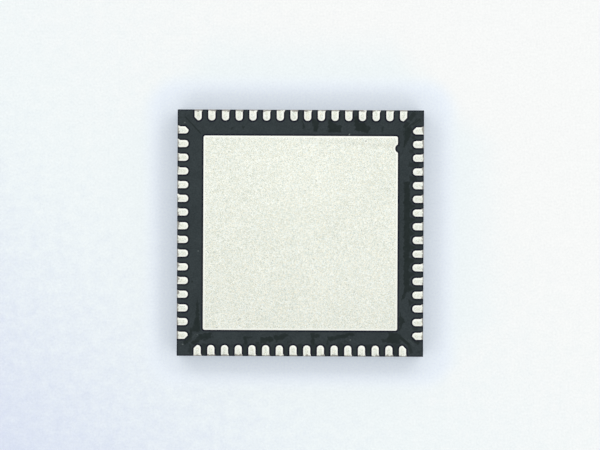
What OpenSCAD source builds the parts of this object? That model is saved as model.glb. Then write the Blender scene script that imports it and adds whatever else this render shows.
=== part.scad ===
// Square flat no-lead chip package, lying on its marked face with its terminals up.
// Millimetres. The origin is the middle of the marked face, and +Z points out of the terminal side.
// Side 1 faces +X and holds pin 1 at its +Y end. The pins run clockwise, seen from the terminals.

/* [Package] */
// Side of the square package
body_w = 9; // [7:0.5:10]
// Height from the marked face to the terminal plane
body_h = 0.9; // [0.8:0.05:1]
// Step of the metal above the moulded terminal side
standoff = 0.02; // [0.01:0.01:0.05]

/* [Leads] */
// Distance between neighbouring leads
pitch = 0.5; // [0.4:0.05:0.65]
// Room from the package's corner to the middle of the first lead, at least
corner_room = 0.75; // [0.75:0.05:1.5]
// Width of a lead
lead_w = 0.26; // [0.2:0.01:0.3]
// Length of a lead's soldered face
lead_l = 0.4; // [0.3:0.05:0.5]
// Round at the corners of a lead's inner end
tip_r = 0.12; // [0.05:0.01:0.13]
// Size of the corner that is cut off the first and the last lead of a side
corner_cut = 0.12; // [0.1:0.01:0.17]

/* [Leadframe] */
// Thickness of the copper sheet
frame_t = 0.2; // [0.15:0.01:0.25]
// Thickness that is left where the sheet is etched from the terminal side
etched_t = 0.1; // [0.08:0.01:0.12]
// Reach of the etched lip past a soldered face, which locks the metal in the mould
lip = 0.12; // [0.08:0.01:0.15]

/* [Thermal pad] */
// Width of the moulded ring between the ends of the leads and the exposed pad
ring_w = 0.55; // [0.4:0.025:0.9]
// Round at the corners of the pad
pad_r = 0.07; // [0.03:0.01:0.15]
// Depth of the notch that marks pin 1
notch_depth = 0.1; // [0.06:0.01:0.12]
// Radius of the notch
notch_r = 0.16; // [0.12:0.01:0.2]
// Round where the notch runs out into the pad's edge
notch_blend = 0.06; // [0.04:0.01:0.1]
// Distance from the pad's corner to the middle of the notch
notch_at = 0.45; // [0.4:0.05:1]
// Width of the diagonal bars that tied the pad into the sheet
tie_w = 0.16; // [0.12:0.02:0.2]

/* [Die] */
// Side of the square silicon die
die_w = 4.6; // [4.2:0.1:5]
// Thickness of the die
die_t = 0.27; // [0.2:0.01:0.3]
// Thickness of the adhesive under the die
glue_t = 0.03; // [0.02:0.01:0.04]
// Adhesive that shows round the die
glue_edge = 0.1; // [0.05:0.01:0.2]

/* [Bond wires] */
// Diameter of a wire
wire_d = 0.025; // [0.02:0.001:0.03]
// Diameter of the ball that welds a wire to the die
ball_d = 0.055; // [0.05:0.005:0.07]
// Height of that ball
ball_h = 0.012; // [0.01:0.001:0.015]
// Height of a wire's loop above the die
loop_h = 0.15; // [0.12:0.01:0.18]
// Radius of the bend at the top of the loop
bend_r = 0.06; // [0.04:0.01:0.08]
// Distance from the die's edge to its bond pads
bond_inset = 0.08; // [0.06:0.01:0.12]
// Distance from the die's corner to the first bond pad of a side
bond_corner = 0.4; // [0.2:0.05:0.6]
// Distance from the end of a lead's lip to the wire's weld on it
stitch_in = 0.13; // [0.12:0.01:0.2]

/* [Pin 1 mark] */
// Diameter of the dimple in the marked face
dimple_d = 0.5; // [0.3:0.05:0.8]
// Depth of the dimple
dimple_depth = 0.03; // [0.02:0.01:0.05]
// Distance from the package's sides to the middle of the dimple
dimple_at = 0.8; // [0.6:0.05:1.2]

/* [Hidden] */
$fn = 48;
sides = 4;
quarter_turn = 360 / sides;
wire_sides = 6;
solder_grey = [0.92, 0.93, 0.89];
mould_black = [0.22, 0.25, 0.26];

half_w = body_w / 2;
mould_h = body_h - standoff;
count_slack = 0.01;
side_leads = 1 + floor((body_w - 2 * corner_room) / pitch + count_slack);
bond_pitch = (die_w - 2 * bond_corner) / (side_leads - 1);
pad_w = body_w - 2 * (lead_l + ring_w);
frame_z = body_h - frame_t;
etch_z = frame_z + etched_t;
paddle_w = pad_w + 2 * lip;
die_z = frame_z - glue_t - die_t;
lip_end_x = half_w - lead_l - lip;
round_r = min(tip_r, 0.48 * lead_w);
row_nodes = ["leads", "first_lead", "last_lead", "bond_wires"];

NODES = concat(
    ["mould_body", "die_paddle", "die_attach", "silicon_die"],
    [for (side = [1 : sides]) for (name = row_nodes) side_node(name, side)]
);
node = "all";

function side_node(name, side) = str(name, "_side_", side);
function wanted(name) = node == "all" || node == name;

// Place of lead i along its side, counted from the first lead
function lead_y(i) = ((side_leads - 1) / 2 - i) * pitch;
function bond_y(i) = ((side_leads - 1) / 2 - i) * bond_pitch;

// Turns what is drawn for side 1 to another side
module on_side(side) {
    rotate(-quarter_turn * (side - 1)) children();
}

// Square with round corners, centred
module rounded_square(w, r) {
    square([w, w - 2 * r], center = true);
    square([w - 2 * r, w], center = true);
    for (x = [-1, 1], y = [-1, 1])
        translate([x, y] * (w / 2 - r)) circle(r);
}

// Outline of a lead that reaches in from the package's side along +X, with a round inner end.
// cut is the side of the lead, +1 or -1, that loses its inner corner, or 0.
module lead_outline(reach, cut) {
    difference() {
        union() {
            translate([0, -lead_w / 2]) square([reach - round_r, lead_w]);
            translate([0, round_r - lead_w / 2]) square([reach, lead_w - 2 * round_r]);
            for (s = [-1, 1])
                translate([reach - round_r, s * (lead_w / 2 - round_r)]) circle(round_r);
        }
        if (cut != 0)
            polygon([
                [reach - corner_cut, cut * lead_w / 2],
                [reach - corner_cut, cut * lead_w],
                [reach + corner_cut, cut * lead_w],
                [reach + corner_cut, cut * (lead_w / 2 - 2 * corner_cut)]
            ]);
    }
}

// One lead of side 1: a soldered face of full thickness over a longer etched lip
module lead(i, cut = 0) {
    color(solder_grey)
        translate([half_w, lead_y(i), frame_z]) rotate(180) {
            linear_extrude(etched_t) lead_outline(lead_l + lip, -cut);
            translate([0, 0, etched_t])
                linear_extrude(frame_t - etched_t) lead_outline(lead_l, -cut);
        }
}

module plain_leads() {
    for (i = [1 : side_leads - 2]) lead(i);
}

module first_lead() {
    lead(0, 1);
}

module last_lead() {
    lead(side_leads - 1, -1);
}

// Round notch in the pad's +X edge, with its shoulders blended into the edge
module notch_outline() {
    middle = pad_w / 2 - notch_at;
    centre_x = pad_w / 2 + notch_r - notch_depth;
    blend_x = pad_w / 2 - notch_blend;
    blend_y = sqrt(pow(notch_r + notch_blend, 2) - pow(centre_x - blend_x, 2));
    translate([centre_x, middle]) circle(notch_r);
    for (s = [-1, 1])
        difference() {
            polygon([
                [centre_x, middle],
                [pad_w / 2, middle + s * blend_y],
                [blend_x, middle + s * blend_y]
            ]);
            translate([blend_x, middle + s * blend_y]) circle(notch_blend);
        }
}

// Etched half of the paddle: its lip all round and the tie bars out to the package's corners
module paddle_lip_outline() {
    rounded_square(paddle_w, pad_r);
    intersection() {
        square(body_w, center = true);
        for (diagonal = [45, 135])
            rotate(diagonal) square([2 * body_w, tie_w], center = true);
    }
}

module die_paddle() {
    color(solder_grey) {
        translate([0, 0, frame_z]) linear_extrude(etched_t) paddle_lip_outline();
        translate([0, 0, etch_z])
            linear_extrude(frame_t - etched_t)
                difference() {
                    rounded_square(pad_w, pad_r);
                    notch_outline();
                }
    }
}

module die_attach() {
    glue_w = die_w + 2 * glue_edge;
    color("silver")
        translate([0, 0, frame_z - glue_t])
            linear_extrude(glue_t) rounded_square(glue_w, glue_edge);
}

module silicon_die() {
    color("slategray")
        translate([-die_w / 2, -die_w / 2, die_z]) cube([die_w, die_w, die_t]);
}

// Points of one ring of a wire. at is [distance along the wire's run, height over the die],
// and lean is the direction, in that plane, in which the ring's section is drawn.
function wire_ring(at, lean, r) = [
    for (k = [0 : wire_sides - 1])
        let (turn = 360 * k / wire_sides)
        [at[0] + r * sin(turn) * lean[0], r * cos(turn), at[1] + r * sin(turn) * lean[1]]
];

// Tube through rings that all have wire_sides points, closed at both ends
module tube(rings) {
    last = len(rings) - 1;
    polyhedron(
        points = [for (ring = rings) each ring],
        faces = concat(
            [[for (k = [wire_sides - 1 : -1 : 0]) k]],
            [for (i = [0 : last - 1]) for (k = [0 : wire_sides - 1])
                let (a = i * wire_sides, next = (k + 1) % wire_sides)
                [a + k, a + next, a + wire_sides + next, a + wire_sides + k]],
            [[for (k = [0 : wire_sides - 1]) last * wire_sides + k]]
        )
    );
}

// One wire along +X: a ball on the die at the origin, a neck, a bend, and a straight run down to
// the weld on the lead, which lies run away and drop below the die's face
module wire_loop(run, drop) {
    r = wire_d / 2;
    neck_z = ball_h + (ball_d - wire_d) / 2;
    bend_z = loop_h - bend_r;
    fall = atan2(loop_h + drop, run - bend_r);
    tube([
        wire_ring([0, 0], [1, 0], ball_d / 2),
        wire_ring([0, ball_h], [1, 0], ball_d / 2),
        wire_ring([0, neck_z], [1, 0], r),
        wire_ring([0, bend_z], [1, 0], r),
        wire_ring([bend_r * (1 - cos(45)), bend_z + bend_r * sin(45)], [cos(45), -sin(45)], r),
        wire_ring([bend_r, loop_h], [-sin(fall / 2), -cos(fall / 2)], r),
        wire_ring([run, -drop], [-1 / sin(fall), 0], r)
    ]);
}

// The wires of side 1, from the die's bond pads to the leads' lips
module bond_wires() {
    bond_x = die_w / 2 - bond_inset;
    stitch_x = lip_end_x + stitch_in;
    color("gold")
        for (i = [0 : side_leads - 1]) {
            reach = [stitch_x - bond_x, lead_y(i) - bond_y(i)];
            translate([bond_x, bond_y(i), die_z])
                rotate(atan2(reach[1], reach[0]))
                    mirror([0, 0, 1]) wire_loop(norm(reach), die_t + glue_t);
        }
}

// Everything that the epoxy flows round
module moulded_in() {
    die_paddle();
    die_attach();
    silicon_die();
    for (side = [1 : sides])
        on_side(side) {
            plain_leads();
            first_lead();
            last_lead();
            bond_wires();
        }
}

module mould_body() {
    color(mould_black)
        difference() {
            translate([-half_w, -half_w, 0]) cube([body_w, body_w, mould_h]);
            moulded_in();
            translate([half_w - dimple_at, half_w - dimple_at, -dimple_depth])
                cylinder(d = dimple_d, h = 2 * dimple_depth);
        }
}

if (wanted("mould_body")) mould_body();
if (wanted("die_paddle")) die_paddle();
if (wanted("die_attach")) die_attach();
if (wanted("silicon_die")) silicon_die();
for (side = [1 : sides])
    on_side(side) {
        if (wanted(side_node("leads", side))) plain_leads();
        if (wanted(side_node("first_lead", side))) first_lead();
        if (wanted(side_node("last_lead", side))) last_lead();
        if (wanted(side_node("bond_wires", side))) bond_wires();
    }
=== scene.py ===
# %% [markdown]
# # A no-lead chip, lying with its terminals up
#
# The object is a chip in a square flat package, 9 mm wide and 0.9 mm high. A block of black
# epoxy holds a sheet of etched copper. The sheet shows in the soldered face as one big pad and
# 64 short leads, all plated with matt tin, and its sawn ends show in the four sides.
#
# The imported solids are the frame: they say where everything is. This lesson dresses them. It
# models the leads, the pad and the mould again with the rounds, burrs and chips that make them
# look real, paints every piece with procedural materials, and sets up floor, light and camera.

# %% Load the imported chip
import math
import random
from contextlib import contextmanager

import bmesh
import bpy
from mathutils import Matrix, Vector


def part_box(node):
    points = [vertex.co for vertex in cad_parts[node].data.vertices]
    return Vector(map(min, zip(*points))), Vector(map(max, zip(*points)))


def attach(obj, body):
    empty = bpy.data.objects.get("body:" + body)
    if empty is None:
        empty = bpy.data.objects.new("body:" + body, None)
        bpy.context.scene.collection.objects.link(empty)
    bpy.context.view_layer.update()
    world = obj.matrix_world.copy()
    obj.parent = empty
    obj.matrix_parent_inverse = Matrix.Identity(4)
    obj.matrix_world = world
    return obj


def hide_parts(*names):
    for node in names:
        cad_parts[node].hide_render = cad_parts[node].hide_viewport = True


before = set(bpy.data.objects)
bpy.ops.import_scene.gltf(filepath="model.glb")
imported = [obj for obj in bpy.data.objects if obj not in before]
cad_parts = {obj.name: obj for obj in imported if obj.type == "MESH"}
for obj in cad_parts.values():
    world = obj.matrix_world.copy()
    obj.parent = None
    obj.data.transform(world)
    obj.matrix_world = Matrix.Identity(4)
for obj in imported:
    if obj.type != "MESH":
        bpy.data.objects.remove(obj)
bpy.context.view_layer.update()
print("Loaded", len(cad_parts), "CAD nodes")

# %% [markdown]
# ## Sizes
#
# A piece fits only if it takes its sizes from the frame, so the boxes of the CAD nodes give
# the outer sizes. Some sizes lie inside a node's outline, such as the round of a lead's tip,
# and no box shows them. They are written here, once, as on the maker's drawing.
#
# Blender's tools are tuned for things about a metre big: below a thousandth of a unit a merge
# or a bevel gets unsure. So the chip is modelled with 1 unit = 1 mm, and each finished piece is
# scaled to metres at the end, with the scale applied to its mesh.

# %% Read the sizes from the frame
MM = 0.001
TINY = 1e-4


def node_box(name):
    """Lowest and highest corner of a CAD node, in millimetres."""
    low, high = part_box(name)
    return low / MM, high / MM


mould_low, mould_high = node_box("mould_body")
paddle_low, paddle_high = node_box("die_paddle")
lead_low, lead_high = node_box("first_lead_side_1")

HALF_W = mould_high.x
MOULD_Z = mould_high.z
TERMINAL_Z = paddle_high.z
SHEET_Z = paddle_low.z
LEAD_W = lead_high.y - lead_low.y
LIP_REACH = lead_high.x - lead_low.x
FIRST_LEAD_Y = (lead_low.y + lead_high.y) / 2
SIDES = 4
SIDE_LEADS = 16
PITCH = 2 * FIRST_LEAD_Y / (SIDE_LEADS - 1)

LEAD_L = 0.4
TIP_R = 0.12
CORNER_CUT = 0.12
ETCHED_T = 0.1
PAD_W = 7.1
PAD_R = 0.07
NOTCH_R = 0.16
NOTCH_DEPTH = 0.1
NOTCH_AT = 0.45
TIE_W = 0.16
DIMPLE_D = 0.5
DIMPLE_DEPTH = 0.03
DIMPLE_AT = 0.8

ETCH_Z = SHEET_Z + ETCHED_T
print(f"Package {2 * HALF_W:.2f} mm wide, leads {LEAD_W:.2f} mm wide at {PITCH:.2f} mm pitch")

# %% [markdown]
# ## Selecting
#
# Every operator acts on what is selected, so each step says first what that is. `only` selects
# objects, `editing` opens one of them in edit mode, and `pick` selects its vertices, edges or
# faces by a test on their place or direction. By hand this would be clicks and box selections;
# in a script a test is surer, because it still finds the right edges when a size changes.

# %% Selection helpers
UPRIGHT = 0.3


def only(*objects):
    """Selects just these objects and makes the first one active."""
    bpy.ops.object.select_all(action="DESELECT")
    for thing in objects:
        thing.select_set(True)
    bpy.context.view_layer.objects.active = objects[0]


@contextmanager
def editing(piece):
    """Edit mode on one piece, with everything selected, and back again."""
    only(piece)
    bpy.ops.object.mode_set(mode="EDIT")
    bpy.ops.mesh.select_all(action="SELECT")
    yield
    bpy.ops.object.mode_set(mode="OBJECT")


def pick(kind, wanted):
    """Selects the VERT, EDGE or FACE elements that wanted() accepts, and counts them."""
    bpy.ops.mesh.select_mode(type=kind)
    bpy.ops.mesh.select_all(action="DESELECT")
    data = bpy.context.object.data
    mesh = bmesh.from_edit_mesh(data)
    mesh.normal_update()
    elements = {"VERT": mesh.verts, "EDGE": mesh.edges, "FACE": mesh.faces}[kind]
    chosen = [element for element in elements if wanted(element)]
    for element in chosen:
        element.select_set(True)
    bmesh.update_edit_mesh(data)
    return len(chosen)


def middle(element):
    """Middle of an edge or a face."""
    return sum((vertex.co for vertex in element.verts), Vector()) / len(element.verts)


def direction(edge):
    """Absolute direction of an edge, as a unit vector."""
    along = (edge.verts[1].co - edge.verts[0].co).normalized()
    return Vector(map(abs, along))


def near(a, b):
    return abs(a - b) < TINY


def upright(face):
    """True for a face that stands like a wall, or nearly."""
    return abs(face.normal.z) < UPRIGHT


print("Selection helpers ready")

# %% [markdown]
# ## Making, joining and placing
#
# A block between two corners starts most pieces here, and a Boolean modifier joins or carves
# them. A Boolean leaves slivers where faces nearly meet, so `cleaned` merges those away.
# `settled` puts an object's place, turn and scale into its mesh: a pattern on Object coordinates
# then stays where it belongs when a finished piece is used elsewhere.

# %% Modelling helpers
SLIVER = TINY / 5
SAME_PLANE = math.radians(0.1)


def settled(piece):
    """Puts the place, turn and scale of a piece into its mesh."""
    only(piece)
    bpy.ops.object.transform_apply(location=True, rotation=True, scale=True)
    return piece


def block(name, low, high):
    """A cube primitive, stretched between two corners."""
    low, high = Vector(low), Vector(high)
    bpy.ops.object.select_all(action="DESELECT")
    bpy.ops.mesh.primitive_cube_add(size=1, location=(low + high) / 2)
    piece = bpy.context.object
    piece.name = name
    piece.scale = high - low
    return settled(piece)


def combine(piece, other, operation):
    """UNION joins the other piece to this one, DIFFERENCE carves it out. The other goes."""
    only(piece)
    boolean = piece.modifiers.new("combine", "BOOLEAN")
    boolean.operation = operation
    boolean.solver = "EXACT"
    boolean.object = other
    bpy.ops.object.modifier_apply(modifier=boolean.name)
    bpy.data.objects.remove(other)


def cleaned(piece):
    """Merges away the slivers that a Boolean leaves where faces nearly meet."""
    with editing(piece):
        bpy.ops.mesh.remove_doubles(threshold=SLIVER)
        bpy.ops.mesh.dissolve_degenerate(threshold=SLIVER)


def copy_of(piece, name):
    """A copy with a mesh of its own."""
    copy = piece.copy()
    copy.data = piece.data.copy()
    copy.name = name
    bpy.context.scene.collection.objects.link(copy)
    return copy


def cad_copy(node, name):
    """A CAD node's mesh as a piece in millimetres, with its loose triangles merged."""
    copy = bpy.data.objects.new(name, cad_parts[node].data.copy())
    bpy.context.scene.collection.objects.link(copy)
    copy.scale = (1 / MM, 1 / MM, 1 / MM)
    settled(copy)
    with editing(copy):
        bpy.ops.mesh.remove_doubles(threshold=TINY)
        bpy.ops.mesh.dissolve_limited(angle_limit=SAME_PLANE)
    copy.data.materials.clear()
    return copy


def turned(piece, side):
    """Turns a piece that was made for side 1 to another side, about the package's middle."""
    piece.rotation_euler.z = -math.radians(360 / SIDES) * (side - 1)
    return settled(piece)


def to_metres(piece, smooth_below):
    """Ends the work in millimetres, and shades edges smooth that turn less than an angle."""
    piece.scale = (MM, MM, MM)
    settled(piece)
    bpy.ops.object.shade_smooth_by_angle(angle=math.radians(smooth_below))


print("Modelling helpers ready")

# %% [markdown]
# ## The leads
#
# A lead is a bar of the copper sheet. Its soldered face is 0.4 mm long and ends in a round tip.
# Below that face the sheet was etched less, so a thin lip reaches further in and locks the lead
# in the epoxy. The first and the last lead of a side lose one inner corner, which keeps them
# clear of the tie bars in the package's corners.
#
# One bar is a block with two upright edges bevelled into the round tip; the cut corner is one
# bisect. A cut lead keeps one round, a hair smaller, so that it stays clear of the cut. Lip and
# face are two such bars, one on the other, joined by a Boolean. A curve with extrusion would
# give the outline too, but then the lip would need a second outline anyway.

# %% One bar of a lead
TIP_STEPS = 8
CUT_TIP_SHARE = 0.99


def cut_of(index):
    """Side on which a lead of a row has its inner corner cut: 1, -1, or 0 for a plain lead."""
    return {0: 1, SIDE_LEADS - 1: -1}.get(index, 0)


def lead_bar(reach, z_low, z_high, cut, overhang=0.0):
    """Bar from the package's side inwards. cut is 1 or -1 where that inner corner is cut, or 0."""
    tip = HALF_W - reach
    bar = block("lead_bar", (tip, -LEAD_W / 2, z_low), (HALF_W + overhang, LEAD_W / 2, z_high))
    with editing(bar):
        if cut:
            bpy.ops.mesh.bisect(
                plane_co=(tip + CORNER_CUT, cut * LEAD_W / 2, z_low),
                plane_no=(-1, cut, 0),
                use_fill=True,
                clear_outer=True,
                threshold=TINY,
            )
        pick("EDGE", lambda edge: near(direction(edge).z, 1) and near(middle(edge).x, tip)
             and (not cut or near(middle(edge).y, -cut * LEAD_W / 2)))
        round_r = TIP_R * (CUT_TIP_SHARE if cut else 1)
        bpy.ops.mesh.bevel(offset=round_r, segments=TIP_STEPS, affect="EDGES")
    return bar


def lead_blank(cut, overhang=0.0, top=TERMINAL_Z):
    """Etched lip and soldered face in one."""
    blank = lead_bar(LIP_REACH, SHEET_Z, ETCH_Z, cut, overhang)
    combine(blank, lead_bar(LEAD_L, ETCH_Z - TINY, top, cut, overhang), "UNION")
    return blank


trial = lead_blank(0)
print("A plain lead blank has", len(trial.data.polygons), "faces")
bpy.data.objects.remove(trial)

# %% [markdown]
# ## What plating and sawing do to a lead
#
# Plating rounds the rim of the soldered face a little. The saw that parts the packages does
# more: it rolls the lead's outer end over, and it drags soft metal along, so each lead has a
# small foot at one side of its end and a thin smear of copper on the package's side. The feet
# of opposite sides point the same way, because the saw ran along the whole strip.
#
# Both are geometry here, because they break the outline of the leads. The roll-over and the
# plated rim are bevels of chosen edges; foot and smear are wedges joined to the lead.

# %% One finished lead
ROLL_R, ROLL_STEPS = 0.025, 3
PLATED_R, PLATED_STEPS = 0.012, 2
FOOT_L, FOOT_W = 0.1, 0.045
SMEAR_T, SMEAR_W = 0.004, 0.07
SMEAR_START = 0.45
SMEAR_TAIL = (1, 1, 0.4)
SMEAR_TOP = (1, 0.9, 0.85)
FACING_OUT = 0.8
TIN, SAWN = 0, 1


def saw_foot(drag):
    """Wedge of dragged metal at the end of a lead. drag is the side it was dragged to."""
    low_y, high_y = sorted((drag * (LEAD_W / 2 - FOOT_W), drag * (LEAD_W / 2 + FOOT_W)))
    foot = block("saw_foot", (HALF_W - FOOT_L, low_y, MOULD_Z - TINY),
                 (HALF_W, high_y, TERMINAL_Z - ROLL_R / 2))
    with editing(foot):
        pick("VERT", lambda vertex: near(vertex.co.x, HALF_W - FOOT_L)
             and near(vertex.co.y, drag * (LEAD_W / 2 + FOOT_W)))
        bpy.ops.transform.translate(value=(0, -drag * (FOOT_W + TINY), 0))
    return foot


def saw_smear(drag):
    """Skin of copper that the saw wiped over the lead's end and a little past it."""
    low_y, high_y = sorted((-drag * LEAD_W * SMEAR_START, drag * (LEAD_W / 2 + SMEAR_W)))
    smear = block("saw_smear", (HALF_W - TINY, low_y, SHEET_Z + ROLL_R),
                  (HALF_W + SMEAR_T, high_y, TERMINAL_Z - 2 * ROLL_R))
    lead_middle = (HALF_W, 0, ETCH_Z)
    with editing(smear):
        pick("VERT", lambda vertex: near(vertex.co.y, drag * (LEAD_W / 2 + SMEAR_W)))
        bpy.ops.transform.resize(value=SMEAR_TAIL, center_override=lead_middle)
        pick("VERT", lambda vertex: vertex.co.x > HALF_W + SMEAR_T / 2)
        bpy.ops.transform.resize(value=SMEAR_TOP, center_override=lead_middle)
    return smear


def finished_lead(name, cut, drag):
    """Blank with plated rim, rolled end, foot and smear."""
    lead = lead_blank(cut)
    with editing(lead):
        pick("EDGE", lambda edge: near(middle(edge).x, HALF_W) and near(middle(edge).z, TERMINAL_Z))
        bpy.ops.mesh.bevel(offset=ROLL_R, segments=ROLL_STEPS, affect="EDGES")
        pick("EDGE", lambda edge: near(middle(edge).z, TERMINAL_Z)
             and any(upright(face) for face in edge.link_faces))
        bpy.ops.mesh.bevel(offset=PLATED_R, segments=PLATED_STEPS, affect="EDGES")
    combine(lead, saw_foot(drag), "UNION")
    combine(lead, saw_smear(drag), "UNION")
    cleaned(lead)
    lead.name = name
    return lead


def two_finishes(piece):
    """Bare copper on the faces that the saw cut, tin on all others."""
    for face in piece.data.polygons:
        axis = 0 if abs(face.center.x) > abs(face.center.y) else 1
        facing_out = face.normal[axis] * math.copysign(1, face.center[axis]) > FACING_OUT
        sawn = facing_out and abs(face.center[axis]) > HALF_W - ROLL_R
        face.material_index = SAWN if sawn else TIN
    return sum(face.material_index == SAWN for face in piece.data.polygons)


models = {(cut, drag): finished_lead("lead_model", cut, drag)
          for cut in (-1, 0, 1) for drag in (-1, 1)}
print("Lead models:", {key: len(model.data.polygons) for key, model in models.items()})

# %% [markdown]
# ## Sixty-four leads
#
# The models are copied to their places, 16 to a side. A copy with its own mesh can differ a
# little from its neighbours, as the real ones do: its foot is a bit longer or shorter. An array
# modifier would be quicker, but all its leads would be alike. The plain leads of a side are
# joined to one piece, as in the frame, and the two cut leads stay pieces of their own.

# %% Copy the leads round the package
FOOT_SPREAD = (0.55, 1.25)
SAW_DRAG = {1: 1, 2: 1, 3: -1, 4: -1}
METAL_SMOOTH = 30
chance = random.Random(64)


def lead_y(index):
    return FIRST_LEAD_Y - index * PITCH


def placed_lead(index, side):
    """Copy of the right model at lead index of a side, with a foot of its own size."""
    drag = SAW_DRAG[side]
    lead = copy_of(models[cut_of(index), drag], f"lead_{side}_{index}")
    foot_scale = chance.uniform(*FOOT_SPREAD)
    for vertex in lead.data.vertices:
        beyond = drag * vertex.co.y - LEAD_W / 2
        if beyond > TINY:
            vertex.co.y = drag * (LEAD_W / 2 + foot_scale * beyond)
        vertex.co.y += lead_y(index)
    return turned(lead, side)


def finished_row(leads, name, *nodes):
    """Joins leads to one piece that stands for the CAD nodes."""
    only(*leads)
    bpy.ops.object.join()
    row = bpy.context.object
    row.name = name
    two_finishes(row)
    to_metres(row, METAL_SMOOTH)
    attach(row, "root")
    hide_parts(*nodes)
    return row


tin_pieces = []
for side in range(1, SIDES + 1):
    leads = [placed_lead(index, side) for index in range(SIDE_LEADS)]
    tin_pieces += [
        finished_row(leads[:1], f"cut_lead_first_{side}", f"first_lead_side_{side}"),
        finished_row(leads[-1:], f"cut_lead_last_{side}", f"last_lead_side_{side}"),
        finished_row(leads[1:-1], f"plain_leads_{side}", f"leads_side_{side}"),
    ]
for model in models.values():
    bpy.data.objects.remove(model)
print("Lead pieces:", len(tin_pieces))

# %% [markdown]
# ## The exposed pad
#
# The paddle under the die shows as the big plated square. One small notch in its edge marks
# pin 1, and four etched tie bars run from its corners to the package's corners, where the saw
# cut through them. The frame's mesh already has this outline with its notch, so a merged copy
# is the quickest true start. What it lacks is the plated rim, which is a bevel of all edges
# round the soldered face, and the sawn ends, which get their own finish.

# %% Round the pad's rim
pad = cad_copy("die_paddle", "exposed_pad")
with editing(pad):
    rim_edges = pick("EDGE", lambda edge: all(near(v.co.z, TERMINAL_Z) for v in edge.verts))
    bpy.ops.mesh.bevel(offset=PLATED_R, segments=PLATED_STEPS, affect="EDGES", clamp_overlap=False)
sawn_faces = two_finishes(pad)
pad_cutter = cad_copy("die_paddle", "pad_cutter")
to_metres(pad, METAL_SMOOTH)
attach(pad, "root")
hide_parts("die_paddle")
tin_pieces.append(pad)
print("Pad rim of", rim_edges, "edges rounded,", sawn_faces, "faces sawn")

# %% [markdown]
# ## The moulded block
#
# The packages are moulded as one slab and then sawn apart, so the sides are straight and their
# edges are not rounded but finely chipped. A bevel breaks the edges of a block, and its strips
# are subdivided along their length, which gives the points that the next step moves. The flat
# faces are taken out first, so that only the strips are cut up. A Displace modifier would chip
# the edges too, but it would need a fine mesh all over the flat faces.

# %% Break the edges of the block
EDGE_BREAK = 0.008
CHIP_CUTS = 150
LONG_EDGE = 1.0

mould = block("mould_block", mould_low, mould_high)
with editing(mould):
    bpy.ops.mesh.bevel(offset=EDGE_BREAK, segments=1, affect="EDGES")
    pick("FACE", lambda face: max(map(abs, face.normal)) > 1 - TINY)
    bpy.ops.mesh.delete(type="ONLY_FACE")
    pick("EDGE", lambda edge: edge.calc_length() > LONG_EDGE)
    bpy.ops.mesh.subdivide(number_cuts=CHIP_CUTS)
print("Strips of", len(mould.data.polygons), "faces along the edges")

# %% [markdown]
# ## Chips along the edges
#
# A saw breaks out many tiny grains and a few bigger ones. Every point of a strip is moved away
# from the edge at random, but only in the plane of the flat face that it borders, so the big
# faces can be filled in again flat. The strips are then split into triangles: a bent
# four-sided face would be cut unevenly by the Booleans to come.

# %% Move the chips in their own planes
FINE_CHIP = 0.006
BIG_CHIP = 0.03
BIG_CHIP_CHANCE = 0.07
BIG_CHIP_SPREAD = (0.2, 1)
CENTRE = Vector((0, 0, (mould_low.z + mould_high.z) / 2))
FLATS = (HALF_W, HALF_W, MOULD_Z / 2)
chips = random.Random(7)


def chip_size():
    size = chips.random() ** 2 * FINE_CHIP
    if chips.random() < BIG_CHIP_CHANCE:
        size += chips.uniform(*BIG_CHIP_SPREAD) * BIG_CHIP
    return size


def chip(place):
    """Moves a point of a strip away from the edge, in the flat face that it lies in."""
    offset = place - CENTRE
    lying_in = [axis for axis in range(3) if near(abs(offset[axis]), FLATS[axis])]
    for axis in range(3):
        room = FLATS[axis] - abs(offset[axis])
        if axis not in lying_in and room < 2 * EDGE_BREAK:
            place[axis] -= math.copysign(chip_size(), offset[axis])


with editing(mould):
    mesh = bmesh.from_edit_mesh(mould.data)
    for vertex in mesh.verts:
        chip(vertex.co)
    for axis in range(3):
        for sign in (-1, 1):
            pick("EDGE", lambda edge: edge.is_boundary and all(
                near((v.co - CENTRE)[axis], sign * FLATS[axis]) for v in edge.verts))
            bpy.ops.mesh.edge_face_add()
    bpy.ops.mesh.select_all(action="SELECT")
    bpy.ops.mesh.normals_make_consistent(inside=False)
    pick("FACE", lambda face: len(face.verts) == 4)
    bpy.ops.mesh.quads_convert_to_tris()
print("Block closed with", len(mould.data.polygons), "faces")

# %% [markdown]
# ## Pockets for everything that the epoxy flowed round
#
# The metal and the die sit in the block with no gap, so their own shapes carve the pockets. The
# leads' cutters reach out through the side, because two faces in one plane are a hard case for
# a Boolean. The tie bars get long cutters for the same reason, and the notch and the lip come
# from the paddle's own mesh.

# %% Carve the pockets
OVERHANG = 0.2
DIAGONALS = (45, 135)

cutter_models = {cut: lead_blank(cut, OVERHANG, TERMINAL_Z + OVERHANG) for cut in (-1, 0, 1)}
lead_cutters = []
for side in range(1, SIDES + 1):
    for index in range(SIDE_LEADS):
        cutter = copy_of(cutter_models[cut_of(index)], "lead_cutter")
        cutter.location.y = lead_y(index)
        lead_cutters.append(turned(settled(cutter), side))
for model in cutter_models.values():
    bpy.data.objects.remove(model)
only(*lead_cutters)
bpy.ops.object.join()
combine(mould, bpy.context.object, "DIFFERENCE")

for diagonal in DIAGONALS:
    tie = block("tie_cutter", (-2 * HALF_W, -TIE_W / 2, SHEET_Z), (2 * HALF_W, TIE_W / 2, ETCH_Z))
    tie.rotation_euler.z = math.radians(diagonal)
    combine(mould, settled(tie), "DIFFERENCE")
combine(mould, pad_cutter, "DIFFERENCE")
for node in ("die_attach", "silicon_die"):
    combine(mould, cad_copy(node, "inner_cutter"), "DIFFERENCE")
print("Mould with its pockets:", len(mould.data.polygons), "faces")

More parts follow.
